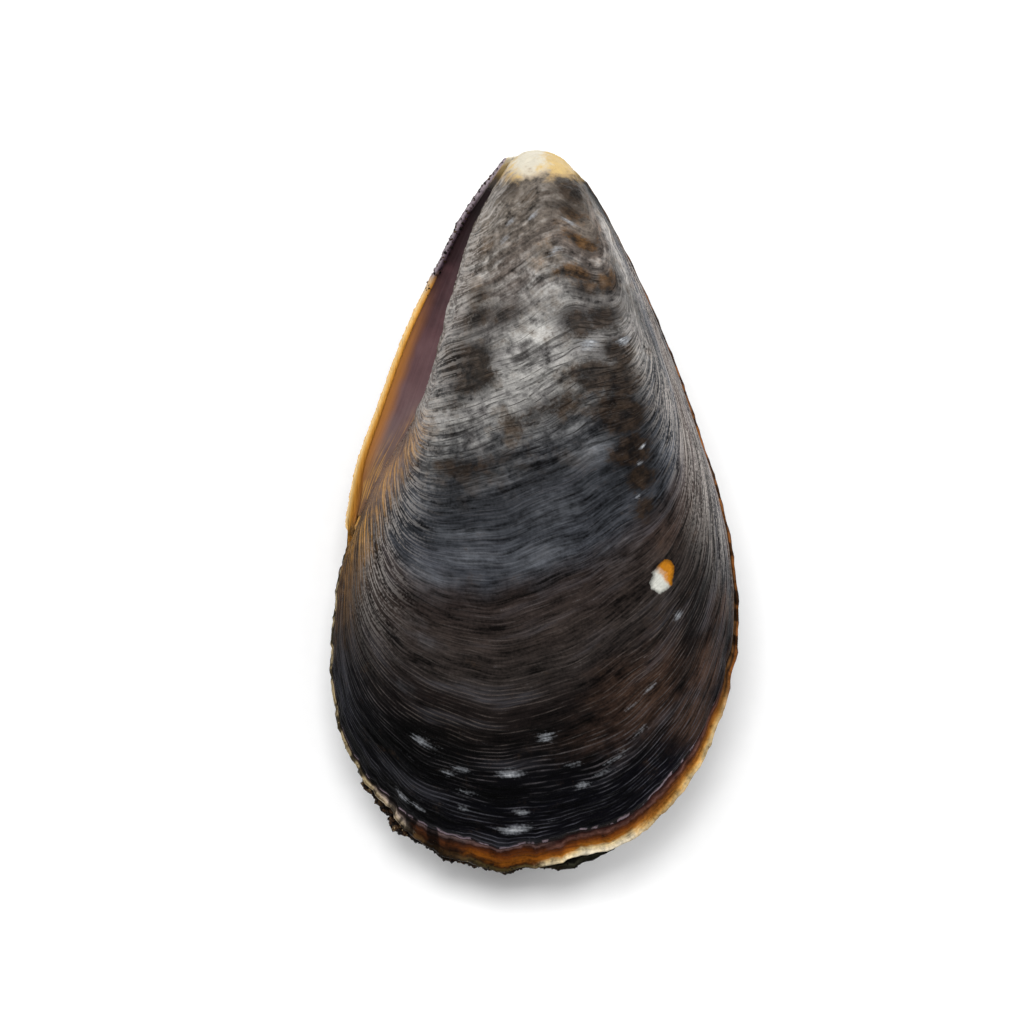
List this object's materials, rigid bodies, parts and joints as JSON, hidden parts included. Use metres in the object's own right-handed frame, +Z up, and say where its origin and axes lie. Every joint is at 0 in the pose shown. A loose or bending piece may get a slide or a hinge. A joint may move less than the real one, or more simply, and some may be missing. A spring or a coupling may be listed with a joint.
{
  "type": "thin-shelled mussel shell",
  "caption": "Whole mussel shell, two thin dark valves closed over each other and joined by a brown ligament, lying on its lower valve.",
  "frame": {"origin": "centre of the bounding box's base, on the surface that the shell lies on", "axes": "+Y towards the umbo, the pointed end; +Z up, away from the surface; -X towards the hinge and ligament"},
  "size_m": [0.037, 0.0652, 0.0263],
  "materials": {
    "upper_valve": "dark blue-black to brown shell, semi-gloss, fine growth lines, worn grey near the umbo",
    "lower_valve": "dark blue-black shell, semi-gloss, fine growth lines, orange to cream inner rim",
    "ligament": "smooth dull purple-brown"
  },
  "bodies": {
    "root": {"upper_valve": "upper_valve", "lower_valve": "lower_valve", "ligament": "ligament"}
  },
  "joints": []
}
